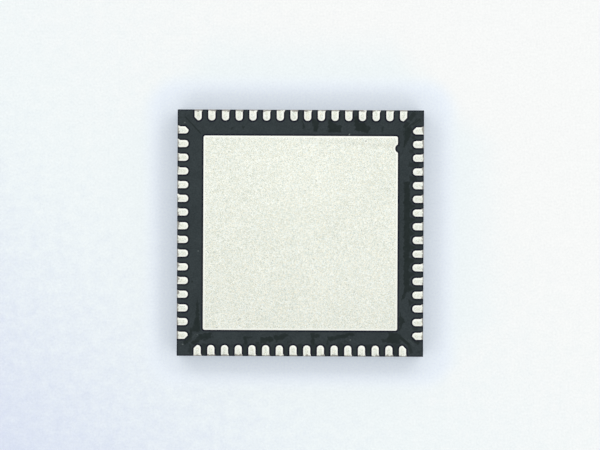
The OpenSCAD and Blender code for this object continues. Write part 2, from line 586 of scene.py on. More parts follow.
# %% [markdown]
# ## The pin 1 dimple
#
# The other face of the package, the one that is marked, has a shallow round dimple over pin 1.
# An ejector pin left it, so its floor is flat and its rim is soft. It is a cylinder with its
# upper rim bevelled, carved out of the block. Bump could only hint at it, and it would be gone
# from the mesh.
#
# The block is then whole, and its faces are sorted into three finishes: the terminal side with
# its chipped edge, the sawn sides, and the marked face.

# %% Carve the dimple and sort the faces
DIMPLE_SIDES, DIMPLE_STEPS = 48, 3
MOULD_SMOOTH = 20
TERMINAL_SIDE, SAWN_SIDE, MARKED_SIDE = 0, 1, 2

bpy.ops.object.select_all(action="DESELECT")
bpy.ops.mesh.primitive_cylinder_add(
    vertices=DIMPLE_SIDES, radius=DIMPLE_D / 2, depth=2 * DIMPLE_DEPTH,
    location=(HALF_W - DIMPLE_AT, HALF_W - DIMPLE_AT, 0))
dimple = settled(bpy.context.object)
with editing(dimple):
    pick("EDGE", lambda edge: all(near(v.co.z, DIMPLE_DEPTH) for v in edge.verts))
    bpy.ops.mesh.bevel(offset=DIMPLE_DEPTH / 2, segments=DIMPLE_STEPS, affect="EDGES")
combine(mould, dimple, "DIFFERENCE")
cleaned(mould)

for face in mould.data.polygons:
    outside = max(abs(face.center.x), abs(face.center.y)) > HALF_W - 2 * EDGE_BREAK
    face.material_index = SAWN_SIDE if outside and upright(face) else TERMINAL_SIDE
    if face.center.z < SHEET_Z / 2 and face.normal.z < -UPRIGHT:
        face.material_index = MARKED_SIDE
to_metres(mould, MOULD_SMOOTH)
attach(mould, "root")
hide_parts("mould_body")
print("Mould finished:", len(mould.data.polygons), "faces")

# %% [markdown]
# ## Node tools for the finishes
#
# Materials here are formulas in node trees. `add_node` places a node, sets its options and
# feeds its inputs with sockets or plain values. The rest are the nodes that turn up most: Math,
# Vector Math, a Map Range that goes smoothly from one value to another, Mix and Noise.

# %% Node helpers
NOISE_MIDDLE = 0.5


def add_node(tree, kind, inputs=None, **options):
    """A node with its options set, and its inputs fed by sockets or values."""
    node = tree.nodes.new("ShaderNode" + kind)
    for name, value in options.items():
        setattr(node, name, value)
    for key, value in (inputs or {}).items():
        if isinstance(value, bpy.types.NodeSocket):
            tree.links.new(value, node.inputs[key])
        else:
            node.inputs[key].default_value = value
    return node


def calc(tree, operation, *values):
    """A Math node's result."""
    return add_node(tree, "Math", dict(enumerate(values)), operation=operation).outputs[0]


def vector(tree, operation, *values, **more):
    """A Vector Math node's outputs, Vector and Value."""
    inputs = {**dict(enumerate(values)), **more}
    return add_node(tree, "VectorMath", inputs, operation=operation).outputs


def fade(tree, value, start, end, low=0.0, high=1.0):
    """Goes smoothly from low to high while value goes from start to end."""
    return add_node(tree, "MapRange", {0: value, 1: start, 2: end, 3: low, 4: high},
                    interpolation_type="SMOOTHSTEP").outputs[0]


def mix(tree, share, first, second):
    """Colour between first and second."""
    return add_node(tree, "Mix", {0: share, 6: first, 7: second}, data_type="RGBA").outputs[2]


def noise(tree, place, scale, detail=2.0, roughness=0.5):
    """A Noise Texture's value, about 0.5 on average. scale is in patterns per millimetre."""
    return add_node(tree, "TexNoise", {"Vector": place, "Scale": scale, "Detail": detail,
                                       "Roughness": roughness}).outputs[0]


def split(tree, place):
    """The x, y and z of a place."""
    return add_node(tree, "SeparateXYZ", {0: place}).outputs


def off_middle_lines(tree, place):
    """The larger of the distances from the package's two middle lines."""
    return calc(tree, "MAXIMUM", *(calc(tree, "ABSOLUTE", axis) for axis in split(tree, place)[:2]))


def new_group(name, inputs, outputs):
    """An empty node group with its sockets, given as name to type."""
    tree = bpy.data.node_groups.new(name, "ShaderNodeTree")
    for socket, kind in inputs.items():
        tree.interface.new_socket(socket, in_out="INPUT", socket_type="NodeSocket" + kind)
    for socket, kind in outputs.items():
        tree.interface.new_socket(socket, in_out="OUTPUT", socket_type="NodeSocket" + kind)
    return tree, tree.nodes.new("NodeGroupInput").outputs, tree.nodes.new("NodeGroupOutput").inputs


def use_group(tree, group, inputs=None):
    """Places a group in a material and returns its outputs."""
    return add_node(tree, "Group", inputs, node_tree=group).outputs


print("Node helpers ready")

# %% [markdown]
# ## Shared effects: place, ragged edges, grain and saw scratches
#
# An effect that more than one finish uses is a node group, built once and placed with values of
# its own.
#
# - `millimetre_place` gives the point in millimetres, so all pattern sizes below are real sizes.
# - `ragged` shifts a place by noise, so that whatever is drawn there gets a ragged edge.
# - `grain` is fine mottling in two sizes, and a blend of both.
# - `saw_scratches` is noise that is stretched along the cut and fine across it.

# %% Place, ragged edges, grain and scratches
RAG_DETAIL = 3.0
GRAIN_DETAIL, GRAIN_ROUGHNESS, GRAIN_RANGE = 3.0, 0.6, (0.25, 0.75)
SCRATCH_DETAIL, SCRATCH_RANGE = 4.0, (0.3, 0.7)

place_group, _, place_out = new_group("millimetre_place", {}, {"Place": "Vector"})
point = add_node(place_group, "TexCoord").outputs["Object"]
place_group.links.new(vector(place_group, "SCALE", point, Scale=1 / MM)[0], place_out["Place"])

ragged_group, ragged_in, ragged_out = new_group(
    "ragged", {"Place": "Vector", "Scale": "Float", "Amount": "Float"}, {"Place": "Vector"})
wobble = add_node(ragged_group, "TexNoise", {"Vector": ragged_in["Place"], "Scale": ragged_in["Scale"],
                                             "Detail": RAG_DETAIL}).outputs["Color"]
centred = vector(ragged_group, "SUBTRACT", wobble, (NOISE_MIDDLE,) * 3)[0]
shift = vector(ragged_group, "SCALE", centred, Scale=ragged_in["Amount"])[0]
ragged_group.links.new(vector(ragged_group, "ADD", ragged_in["Place"], shift)[0], ragged_out["Place"])

grain_group, grain_in, grain_out = new_group(
    "grain",
    {"Place": "Vector", "Fine Scale": "Float", "Broad Scale": "Float", "Fine Share": "Float"},
    {"Fine": "Float", "Broad": "Float", "Mottle": "Float"})
grains = {}
for size in ("Fine", "Broad"):
    speckle = noise(grain_group, grain_in["Place"], grain_in[f"{size} Scale"], GRAIN_DETAIL,
                    GRAIN_ROUGHNESS)
    grains[size] = fade(grain_group, speckle, *GRAIN_RANGE)
    grain_group.links.new(grains[size], grain_out[size])
difference = calc(grain_group, "SUBTRACT", grains["Fine"], grains["Broad"])
blend = calc(grain_group, "MULTIPLY_ADD", difference, grain_in["Fine Share"], grains["Broad"])
grain_group.links.new(blend, grain_out["Mottle"])

scratch_group, scratch_in, scratch_out = new_group(
    "saw_scratches", {"Place": "Vector", "Stretch": "Vector", "Roughness": "Float"},
    {"Scratches": "Float"})
stretched = vector(scratch_group, "MULTIPLY", scratch_in["Place"], scratch_in["Stretch"])[0]
lines = noise(scratch_group, stretched, 1.0, SCRATCH_DETAIL, scratch_in["Roughness"])
scratch_group.links.new(fade(scratch_group, lines, *SCRATCH_RANGE), scratch_out["Scratches"])


def ragged(tree, place, scale, amount):
    """The place, shifted by noise of a scale and an amount in millimetres."""
    return use_group(tree, ragged_group, {"Place": place, "Scale": scale, "Amount": amount})["Place"]


print("Groups:", [group.name for group in bpy.data.node_groups])

# %% [markdown]
# ## Shared effect: distance to the metal's edge
#
# `metal_edge` gives the distance to the nearest edge of the metal in the soldered face, negative
# on the metal. It places a painted highlight along the tin's rim, and a line of painted shade on
# the mould along the metal. An Ambient Occlusion node could find such edges too, but it is slow
# and doesn't export. The outlines are simple, so the distance is worked out: a rounded square with
# a round notch for the pad, and one rounded bar for all leads, onto which the face is folded.

# %% Distance to the metal's edge
HALF_ROW = SIDE_LEADS / 2


def rounded(tree, first, second, radius):
    """Distance to a rounded corner between two straight edges, given the distances past them."""
    first = calc(tree, "ADD", first, radius)
    second = calc(tree, "ADD", second, radius)
    outside = add_node(tree, "CombineXYZ", {0: calc(tree, "MAXIMUM", first, 0.0),
                                            1: calc(tree, "MAXIMUM", second, 0.0)}).outputs[0]
    inside = calc(tree, "MINIMUM", calc(tree, "MAXIMUM", first, second), 0.0)
    length = vector(tree, "LENGTH", outside)["Value"]
    return calc(tree, "SUBTRACT", calc(tree, "ADD", length, inside), radius)


tree, edge_in, edge_out = new_group("metal_edge", {"Place": "Vector"}, {"Distance": "Float"})
edge_group = tree
axes = split(tree, edge_in["Place"])
size_x, size_y = (calc(tree, "ABSOLUTE", axis) for axis in axes[:2])
pad_edge = rounded(tree, calc(tree, "SUBTRACT", size_x, PAD_W / 2),
                   calc(tree, "SUBTRACT", size_y, PAD_W / 2), PAD_R)
notch_place = (PAD_W / 2 + NOTCH_R - NOTCH_DEPTH, PAD_W / 2 - NOTCH_AT, 0)
in_face = add_node(tree, "CombineXYZ", {0: axes[0], 1: axes[1]}).outputs[0]
from_notch = vector(tree, "DISTANCE", in_face, notch_place)["Value"]
pad_edge = calc(tree, "MAXIMUM", pad_edge, calc(tree, "SUBTRACT", NOTCH_R, from_notch))

outward = calc(tree, "MAXIMUM", size_x, size_y)
along = calc(tree, "MINIMUM", size_x, size_y)
number = calc(tree, "FLOOR", calc(tree, "DIVIDE", along, PITCH))
number = calc(tree, "MINIMUM", number, HALF_ROW - 1)
lead_middle = calc(tree, "MULTIPLY", calc(tree, "ADD", number, 0.5), PITCH)
off_middle = calc(tree, "SUBTRACT", along, lead_middle)
past_tip = calc(tree, "SUBTRACT", HALF_W - LEAD_L, outward)
past_side = calc(tree, "SUBTRACT", calc(tree, "ABSOLUTE", off_middle), LEAD_W / 2)
lead_edge = rounded(tree, past_tip, past_side, TIP_R)
past_cut = calc(tree, "ADD", past_tip, calc(tree, "SUBTRACT", off_middle, LEAD_W / 2))
past_cut = calc(tree, "MULTIPLY", calc(tree, "ADD", past_cut, CORNER_CUT), math.sqrt(0.5))
is_last = calc(tree, "GREATER_THAN", number, HALF_ROW - 1.5)
past_cut = calc(tree, "ADD", past_cut, calc(tree, "SUBTRACT", is_last, 1.0))
lead_edge = calc(tree, "MAXIMUM", lead_edge, past_cut)
tree.links.new(calc(tree, "MINIMUM", pad_edge, lead_edge), edge_out["Distance"])
print("metal_edge has", len(tree.nodes), "nodes")

# %% [markdown]
# ## Shared effect: one smudge
#
# Stains, pits and specks sit where they sit on the real chip, so they are placed one by one. One
# smudge is a soft-edged strip with a place, a length, a width, a turn and a taper. An image
# would be easier to paint, but it would have a fixed sharpness and would need a UV map. With
# nearly a hundred smudges in one finish the group has to be light: it measures along and across
# with two dot products, whose directions the script works out.

# %% Smudges
SMUDGE_SOFT = 0.014

tree, smudge_in, smudge_out = new_group(
    "smudge", {"Place": "Vector", "Along": "Vector", "Across": "Vector", "Along At": "Float",
               "Across At": "Float", "Half Length": "Float", "Half Width": "Float",
               "Slant": "Float"}, {"Mask": "Float"})
smudge_group = tree
along, across = (
    calc(tree, "SUBTRACT", vector(tree, "DOT_PRODUCT", smudge_in["Place"], smudge_in[way])["Value"],
         smudge_in[f"{way} At"]) for way in ("Along", "Across"))
half_width = calc(tree, "MULTIPLY_ADD", along, smudge_in["Slant"], smudge_in["Half Width"])
past_side = calc(tree, "SUBTRACT", calc(tree, "ABSOLUTE", across), half_width)
past_end = calc(tree, "SUBTRACT", calc(tree, "ABSOLUTE", along), smudge_in["Half Length"])
past = calc(tree, "MAXIMUM", past_side, past_end)
tree.links.new(fade(tree, past, SMUDGE_SOFT, -SMUDGE_SOFT), smudge_out["Mask"])


def smudges(tree, place, spots):
    """The strongest of several smudges: x, y, half length, half width, turn, taper, strength."""
    strongest = 0.0
    for x, y, half_l, half_w, turn, taper, strength in spots:
        c, s = math.cos(math.radians(turn)), math.sin(math.radians(turn))
        mask = use_group(tree, smudge_group, {
            "Place": place, "Along": (c, s, 0), "Across": (-s, c, 0),
            "Along At": c * x + s * y, "Across At": c * y - s * x,
            "Half Length": half_l, "Half Width": half_w, "Slant": taper * half_w / half_l})["Mask"]
        strongest = calc(tree, "MAXIMUM", strongest, calc(tree, "MULTIPLY", mask, strength))
    return strongest


print("Groups:", [group.name for group in bpy.data.node_groups])

# %% [markdown]
# ## Finishes
#
# `finish` starts a material: it gives the node tree, the Principled shader and the point in
# millimetres. The colours are written as they show on the object, in linear values. `bump` adds
# relief that is too fine for the mesh.

# %% Start of a finish
def finish(name):
    """A new material: itself, its tree, its Principled shader and the place in millimetres."""
    material = bpy.data.materials.new(name)
    material.use_nodes = True
    tree = material.node_tree
    return material, tree, tree.nodes["Principled BSDF"], use_group(tree, place_group)["Place"]


def bump(tree, shader, height, strength, depth):
    """Feeds the shader's Normal with a Bump of that height. depth is in millimetres."""
    node = add_node(tree, "Bump", {"Height": height, "Strength": strength, "Distance": depth * MM})
    tree.links.new(node.outputs[0], shader.inputs["Normal"])


def roughness(tree, shader, share, low_end, high_end):
    """Feeds the shader's Roughness with a fade between two values."""
    tree.links.new(fade(tree, share, 0.0, 1.0, low_end, high_end), shader.inputs["Roughness"])


print("Finish helpers ready")

# %% [markdown]
# ## Matt tin
#
# The soldered faces are plated with matt tin. Close up it is a pale, slightly warm grey made of
# fine crystals, so it glitters in speckles of a few hundredths of a millimetre, some warmer and
# some cooler. Noise alone would give soft clouds, so a Voronoi texture gives the crystals: each
# cell has a random colour, and its three channels serve as lightness, pores and tint. A painted
# highlight makes the rims brighter, and the saw left the outer ends grey. A few dark pits are
# placed one by one.

# %% Matt tin
TIN_PALE = (0.998, 1.0, 0.905, 1)
TIN_DULL = (0.61, 0.65, 0.548, 1)
# Colour of the painted highlight along the tin's rim.
TIN_RIM_HIGHLIGHT = (0.985, 0.99, 0.91, 1)
TINT_COOL = (0.945, 1.0, 1.07, 1)
TINT_WARM = (1.065, 1.0, 0.92, 1)
SAWN_GREY = (0.33, 0.32, 0.29, 1)
PIT_DARK = (0.36, 0.38, 0.36, 1)
CRYSTAL_SCALE = 48.0
CRYSTAL_SHARE, FINE_SHARE, BROAD_SHARE = 0.90, 0.10, 0.10
TIN_FINE, TIN_BROAD = 9.0, 0.5
# Where the painted highlight along the rim starts and is full, and how strong it is.
RIM_HIGHLIGHT_START, RIM_HIGHLIGHT_FULL, RIM_HIGHLIGHT_STRENGTH = -0.08, -0.045, 0.85
PORE_START, PORE_FULL, PORE_STRENGTH = 0.985, 0.993, 0.75
SAWN_START, SAWN_FULL = HALF_W - 0.07, HALF_W - 0.03
SAWN_PATCHES, SAWN_SPREAD = 7.0, 0.2
RIM_HIGHLIGHT_RAG, PIT_RAG, SAWN_RAG = (12.0, 0.02), (20.0, 0.03), (16.0, 0.05)
TIN_ROUGH = (0.5, 0.38)
PITS = [
    (2.38, 3.37, 0.026, 0.020, 20, 0, 0.9), (3.26, 1.83, 0.020, 0.016, 0, 0, 0.7),
    (2.32, 2.40, 0.018, 0.014, 0, 0, 0.8), (0.31, -0.59, 0.018, 0.014, 0, 0, 0.5),
    (0.50, -0.95, 0.016, 0.013, 0, 0, 0.5), (0.31, -2.59, 0.018, 0.014, 0, 0, 0.5),
    (-2.23, -3.17, 0.055, 0.018, 40, 0, 0.6), (-3.04, -3.46, 0.026, 0.016, 0, 0, 0.8),
    (2.77, -3.28, 0.020, 0.014, 0, 0, 0.6),
]

tin, tree, shader, place = finish("matt_tin")
grains = use_group(tree, grain_group, {"Place": place, "Fine Scale": TIN_FINE, "Broad Scale": TIN_BROAD})
facets = add_node(tree, "TexVoronoi", {"Vector": place, "Scale": CRYSTAL_SCALE}).outputs["Color"]
facets = add_node(tree, "SeparateColor", {0: facets}).outputs
crystal = calc(tree, "MULTIPLY", facets[0], CRYSTAL_SHARE)
crystal = calc(tree, "MULTIPLY_ADD", grains["Fine"], FINE_SHARE, crystal)
crystal = calc(tree, "MULTIPLY_ADD", grains["Broad"], BROAD_SHARE, crystal)
tint = mix(tree, facets[2], TINT_COOL, TINT_WARM)
colour = vector(tree, "MULTIPLY", mix(tree, crystal, TIN_DULL, TIN_PALE), tint)[0]
pits = smudges(tree, ragged(tree, place, *PIT_RAG), PITS)
pores = fade(tree, facets[1], PORE_START, PORE_FULL, 0.0, PORE_STRENGTH)
colour = mix(tree, calc(tree, "MAXIMUM", pits, pores), colour, PIT_DARK)
# Painted highlight along the tin's rim, placed by the distance to the metal's edge.
rim = use_group(tree, edge_group, {"Place": ragged(tree, place, *RIM_HIGHLIGHT_RAG)})["Distance"]
colour = mix(tree, fade(tree, rim, RIM_HIGHLIGHT_START, RIM_HIGHLIGHT_FULL, 0.0, RIM_HIGHLIGHT_STRENGTH), colour, TIN_RIM_HIGHLIGHT)
patches = calc(tree, "SUBTRACT", noise(tree, place, SAWN_PATCHES), NOISE_MIDDLE)
outward = off_middle_lines(tree, ragged(tree, place, *SAWN_RAG))
outward = calc(tree, "MULTIPLY_ADD", patches, SAWN_SPREAD, outward)
colour = mix(tree, fade(tree, outward, SAWN_START, SAWN_FULL), colour, SAWN_GREY)
tree.links.new(colour, shader.inputs["Base Color"])
shader.inputs["Metallic"].default_value = 1.0
roughness(tree, shader, crystal, *TIN_ROUGH)
bump(tree, shader, crystal, strength=0.25, depth=0.004)
print("Matt tin has", len(tree.nodes), "nodes")

# %% [markdown]
# ## Sawn copper
#
# The ends of the leads and tie bars were cut after plating, so they show bare copper, scratched
# along the saw's way and wiped over with grey tin. Scratches mix two coppers, a broader noise
# lays patches of tin over them, and the same scratches drive roughness and relief, so that
# colour and gloss change together as they do on metal.

# %% Sawn copper
COPPER = (0.62, 0.33, 0.20, 1)
COPPER_DULL = (0.30, 0.17, 0.12, 1)
WIPED_TIN = (0.55, 0.54, 0.47, 1)
COPPER_STRETCH, COPPER_SCRATCHY = (2.0, 2.0, 60.0), 0.7
WIPED_SCALE, WIPED_DETAIL = 9.0, 3.0
WIPED_START, WIPED_FULL, WIPED_STRENGTH = 0.45, 0.65, 0.6
COPPER_ROUGH = (0.55, 0.35)

copper, tree, shader, place = finish("sawn_copper")
scratches = use_group(tree, scratch_group, {"Place": place, "Stretch": COPPER_STRETCH,
                                            "Roughness": COPPER_SCRATCHY})["Scratches"]
wiped = fade(tree, noise(tree, place, WIPED_SCALE, WIPED_DETAIL), WIPED_START, WIPED_FULL,
             0.0, WIPED_STRENGTH)
colour = mix(tree, wiped, mix(tree, scratches, COPPER_DULL, COPPER), WIPED_TIN)
tree.links.new(colour, shader.inputs["Base Color"])
shader.inputs["Metallic"].default_value = 1.0
roughness(tree, shader, scratches, *COPPER_ROUGH)
bump(tree, shader, scratches, strength=0.3, depth=0.003)

for piece in tin_pieces:
    piece.data.materials.append(tin)
    piece.data.materials.append(copper)
print("Tin and copper on", len(tin_pieces), "pieces")

# %% [markdown]
# ## Stains, painted shade and painted highlights on the mould's terminal side
#
# A tape covered this side during moulding, and its glue and the plating bath left darker,
# wetter-looking stains round the pad. The faint diagonal lines over the tie bars in the corners
# are painted shade, as of shallow sink lines, with a few stains beside them; the light lines
# beside some of them are painted highlight, and the other light marks are specks. Each is a
# smudge: x, y, half length, half width, turn, taper and strength. Where a stain repeats from lead
# to lead, a loop places it.

# %% Places of the stains, painted shade and painted highlights
STAINS_BACK = [
    (0.085, 3.96, 0.14, 0.034, 98, 0, 0.9), (0.545, 3.93, 0.21, 0.105, 90, 0.35, 1),
    (1.09, 3.93, 0.25, 0.085, 95, -0.3, 1), (1.29, 3.83, 0.20, 0.15, -10, -0.2, 1),
    (2.055, 4.01, 0.26, 0.10, 100, -0.15, 1), (2.31, 3.85, 0.21, 0.15, -25, -0.15, 1),
    (2.99, 3.79, 0.09, 0.028, 85, 0, 0.8), (-2.505, 3.82, 0.05, 0.032, 40, 0, 1),
    (-2.115, 3.85, 0.036, 0.034, 0, 0, 1), (-0.35, 3.70, 0.03, 0.02, 0, 0, 0.6),
]
STAINS_RIGHT = [
    (3.94, 3.72, 0.18, 0.11, 65, -0.4, 1), (3.84, 3.41, 0.26, 0.075, 75, 0.7, 1),
    (4.12, 3.50, 0.06, 0.06, 0, 0, 0.8), (4.05, 3.01, 0.09, 0.08, 0, 0, 0.7),
    (4.14, 2.52, 0.20, 0.08, 0, -0.3, 0.7), (4.11, 1.99, 0.14, 0.10, 0, -0.3, 0.8),
    (3.885, -0.02, 1.90, 0.105, 90, 0, 1), (3.82, -2.17, 0.30, 0.055, 69, 0.5, 1),
    (4.30, -0.60, 1.90, 0.20, 90, 0, 0.35), (3.71, -3.23, 0.09, 0.20, 0, -0.9, 0.9),
    (4.055, -2.53, 0.09, 0.075, 0, -0.3, 0.8), (4.205, -3.45, 0.12, 0.06, 0, 0, 0.6),
]
TEETH, FIRST_TOOTH_Y = 7, 1.0
STAINS_RIGHT += [(4.06, FIRST_TOOTH_Y - tooth * PITCH, 0.13, 0.09, 0, -0.75, 0.95)
                 for tooth in range(TEETH)]
STAINS_FRONT = [
    (3.44, -3.83, 0.24, 0.19, -10, -0.1, 0.95), (3.13, -3.92, 0.13, 0.07, 10, 0.4, 0.8),
    (1.505, -3.775, 0.49, 0.06, 12, -0.2, 0.95), (1.14, -3.83, 0.14, 0.07, 5, 0, 0.9),
    (1.005, -3.99, 0.10, 0.04, 80, 0, 0.8), (1.69, -3.975, 0.09, 0.04, -10, 0, 0.6),
    (0.475, -3.865, 0.23, 0.07, 90, 0, 0.95), (0.61, -3.755, 0.10, 0.05, 35, 0, 0.9),
    (-0.685, -3.795, 0.24, 0.09, 22, -0.3, 0.9), (-0.39, -3.98, 0.08, 0.03, 20, 0, 0.7),
    (-1.215, -3.905, 0.24, 0.09, 8, -0.15, 0.95), (-1.55, -4.04, 0.05, 0.06, 0, 0, 0.8),
    (-1.985, -3.93, 0.17, 0.055, 95, -0.2, 0.95), (-1.85, -3.825, 0.11, 0.028, 15, 0, 0.8),
    (-2.70, -3.83, 0.022, 0.022, 0, 0, 0.7), (-3.44, -3.775, 0.23, 0.095, 12, 0.1, 0.95),
    (-3.77, -3.935, 0.21, 0.065, 41, 0, 0.95), (-4.005, -4.25, 0.16, 0.06, 85, 0, 0.6),
    (-3.475, -3.88, 0.08, 0.04, 70, 0, 0.7), (0.0, -4.30, 3.70, 0.22, 0, 0, 0.35),
]
STAINED_GAPS = (-3.5, -2, -1.5, 0, 0.5, 1.5, 2.5, 3.5)
STAINS_FRONT += [(x, -4.24, 0.20, 0.10, 90, 0, 0.7) for x in STAINED_GAPS]
STAINS_LEFT = [
    (-3.755, -3.04, 0.58, 0.075, 90, -0.75, 0.95), (-3.90, -3.50, 0.10, 0.07, 60, 0, 0.9),
    (-3.99, -3.70, 0.19, 0.06, 82, 0, 0.95), (-4.115, -3.955, 0.14, 0.06, 45, 0, 0.95),
    (-3.955, -1.785, 0.042, 0.04, 0, 0, 1), (-3.99, -1.735, 0.02, 0.015, 0, 0, 0.7),
]
# Dark lines along the tie bars are painted shade, as of shallow sink lines; the blobs beside them are
# stains.
TIE_SHADE_AND_STAINS = [
    (-3.935, 3.925, 0.42, 0.024, -47, 0, 0.9), (-4.33, 4.22, 0.11, 0.02, 0, 0, 0.4),
    (-4.225, 4.30, 0.07, 0.02, 80, 0, 0.4), (-4.10, 4.28, 0.05, 0.04, 0, 0, 0.35),
    (3.99, 3.945, 0.36, 0.024, 44, 0, 0.75), (3.855, 3.95, 0.13, 0.08, 60, 0, 0.9),
    (4.06, 4.275, 0.17, 0.075, 55, 0, 0.75), (4.225, 4.05, 0.18, 0.06, 35, 0, 0.85),
    (3.77, -3.88, 0.30, 0.055, -38, 0, 0.95), (4.025, -4.205, 0.18, 0.055, -71, 0, 0.8),
    (3.995, -4.03, 0.24, 0.016, -42, 0, 0.5), (4.225, -3.92, 0.16, 0.060, -40, 0, 0.9),
    (4.345, -4.32, 0.05, 0.045, 0, 0, 0.5),
]
# Light lines beside some tie bar lines are painted highlight; the dots are light specks.
LIGHT_SPECKS_AND_HIGHLIGHTS = [
    (4.00, 4.00, 0.20, 0.014, 40, 0, 0.08), (4.19, 4.00, 0.20, 0.016, 38, 0, 0.08),
    (4.00, -3.985, 0.23, 0.014, -41, 0, 0.06), (4.08, -3.97, 0.16, 0.014, -41, 0, 0.08),
    (-3.95, -3.84, 0.22, 0.020, 45, 0, 0.05), (-3.75, -3.72, 0.020, 0.020, 0, 0, 0.3),
    (-3.73, -0.67, 0.020, 0.020, 0, 0, 0.45), (1.777, 3.61, 0.030, 0.016, 50, 0, 0.9),
    (-4.28, -4.08, 0.024, 0.020, 0, 0, 0.5), (1.84, -3.90, 0.020, 0.020, 0, 0, 0.45),
    (-4.24, 4.02, 0.024, 0.020, 0, 0, 0.45),
]
STAINS = STAINS_BACK + STAINS_RIGHT + STAINS_FRONT + STAINS_LEFT
print(len(STAINS), "stains,", len(TIE_SHADE_AND_STAINS), "tie bar lines,", len(LIGHT_SPECKS_AND_HIGHLIGHTS), "light marks")

# %% [markdown]
# ## The mould's terminal side
#
# Black epoxy with mineral filler: a dark blue-grey with a dull sheen. Grain mixes two tones of
# it, the stains and the painted shade of the tie bar lines darken it and make it a little
# glossier, and a near-black line of painted shade runs along the metal and along the package's
# edge. Stains have torn edges, so their place is shifted by noise first; the lines of the tie
# bars are straighter and are shifted less. Light specks and the painted highlights beside some
# tie bar lines go on last.

# %% Terminal side of the mould
EPOXY = (0.0228, 0.0303, 0.0325, 1)
EPOXY_PALE = (0.0438, 0.0555, 0.0588, 1)
# This colour darkens the stains and the painted shade of the tie bar lines.
STAIN_AND_SHADE = (0.0135, 0.0200, 0.0190, 1)
# Near-black colour of the painted shade line along the metal and along the package's edge.
SEAM_SHADE = (0.003, 0.003, 0.012, 1)
# Colour of the light specks and of the painted highlights beside tie bar lines.
LIGHT_SPECK_AND_HIGHLIGHT = (0.20, 0.23, 0.22, 1)
EPOXY_GRAIN = {"Fine Scale": 22.0, "Broad Scale": 1.6, "Fine Share": 0.65}
TORN_RAG, LINE_RAG, SEAM_SHADE_RAG = (10.0, 0.2), (9.0, 0.05), (14.0, 0.02)
THIN_SCALE, THIN_DETAIL, THIN_ROUGHNESS = 6.0, 4.0, 0.7
THIN_START, THIN_END, THIN_STRENGTH = 0.35, 0.6, 0.8
# Where the painted shade line along the metal, and the one along the package's edge, start and are full.
SEAM_SHADE_START, SEAM_SHADE_FULL, SEAM_SHADE_STRENGTH = 0.08, 0.03, 0.9
EDGE_SHADE_START, EDGE_SHADE_FULL, EDGE_SHADE_STRENGTH = HALF_W - 0.06, HALF_W - 0.02, 0.8
EPOXY_ROUGH = (0.62, 0.5)
STAIN_GLOSS = 0.15

terminal_side, tree, shader, place = finish("mould_terminal_side")
mottle = use_group(tree, grain_group, {"Place": place, **EPOXY_GRAIN})["Mottle"]
lines_place = ragged(tree, place, *LINE_RAG)
# Stains and the painted shade of the tie bar lines, in one mask.
stains_and_shade = calc(tree, "MAXIMUM", smudges(tree, ragged(tree, place, *TORN_RAG), STAINS),
               smudges(tree, lines_place, TIE_SHADE_AND_STAINS))
thinned = noise(tree, place, THIN_SCALE, THIN_DETAIL, THIN_ROUGHNESS)
stains_and_shade = calc(tree, "MULTIPLY", stains_and_shade, fade(tree, thinned, THIN_START, THIN_END, THIN_STRENGTH))
# Painted shade: a near-black line along the metal's edge.
seam_shade_mask = use_group(tree, edge_group, {"Place": ragged(tree, place, *SEAM_SHADE_RAG)})["Distance"]
# Painted shade along the package's edge.
edge = fade(tree, off_middle_lines(tree, lines_place), EDGE_SHADE_START, EDGE_SHADE_FULL, 0.0, EDGE_SHADE_STRENGTH)
seam_shade_mask = calc(tree, "MAXIMUM", fade(tree, seam_shade_mask, SEAM_SHADE_START, SEAM_SHADE_FULL), edge)
colour = mix(tree, mottle, EPOXY, EPOXY_PALE)
colour = mix(tree, stains_and_shade, colour, STAIN_AND_SHADE)
colour = mix(tree, calc(tree, "MULTIPLY", seam_shade_mask, SEAM_SHADE_STRENGTH), colour, SEAM_SHADE)
# Light specks, and painted highlights beside tie bar lines.
colour = mix(tree, smudges(tree, lines_place, LIGHT_SPECKS_AND_HIGHLIGHTS), colour, LIGHT_SPECK_AND_HIGHLIGHT)
tree.links.new(colour, shader.inputs["Base Color"])
shader.inputs["Specular IOR Level"].default_value = 0.1
rough = calc(tree, "MULTIPLY_ADD", stains_and_shade, -STAIN_GLOSS, fade(tree, mottle, 0.0, 1.0, *EPOXY_ROUGH))
tree.links.new(rough, shader.inputs["Roughness"])
bump(tree, shader, mottle, strength=0.2, depth=0.004)
print("Terminal side has", len(tree.nodes), "nodes")

# %% [markdown]
# ## The mould's sawn sides
#
# The saw leaves fine level scratches in the sides and cuts through the filler, which shows as
# tiny pale grains. The scratches are the same effect as on the copper, coarser, and the grains
# are the middles of Voronoi cells.

# %% Sawn sides of the mould
SIDE_DARK = (0.016, 0.021, 0.024, 1)
SIDE_PALE = (0.045, 0.053, 0.057, 1)
FILLER = (0.16, 0.17, 0.17, 1)
SIDE_STRETCH, SIDE_SCRATCHY = (1.5, 1.5, 45.0), 0.65
FILLER_SCALE = 22.0
FILLER_START, FILLER_FULL, FILLER_STRENGTH = 0.28, 0.16, 0.55
SIDE_ROUGH = (0.75, 0.6)

sawn_side, tree, shader, place = finish("mould_sawn_side")
scratches = use_group(tree, scratch_group, {"Place": place, "Stretch": SIDE_STRETCH,
                                            "Roughness": SIDE_SCRATCHY})["Scratches"]
cells = add_node(tree, "TexVoronoi", {"Vector": place, "Scale": FILLER_SCALE}).outputs["Distance"]
filler = fade(tree, cells, FILLER_START, FILLER_FULL, 0.0, FILLER_STRENGTH)
colour = mix(tree, filler, mix(tree, scratches, SIDE_DARK, SIDE_PALE), FILLER)
tree.links.new(colour, shader.inputs["Base Color"])
shader.inputs["Specular IOR Level"].default_value = 0.35
roughness(tree, shader, scratches, *SIDE_ROUGH)
bump(tree, shader, calc(tree, "ADD", scratches, filler), strength=0.35, depth=0.004)
print("Sawn side has", len(tree.nodes), "nodes")

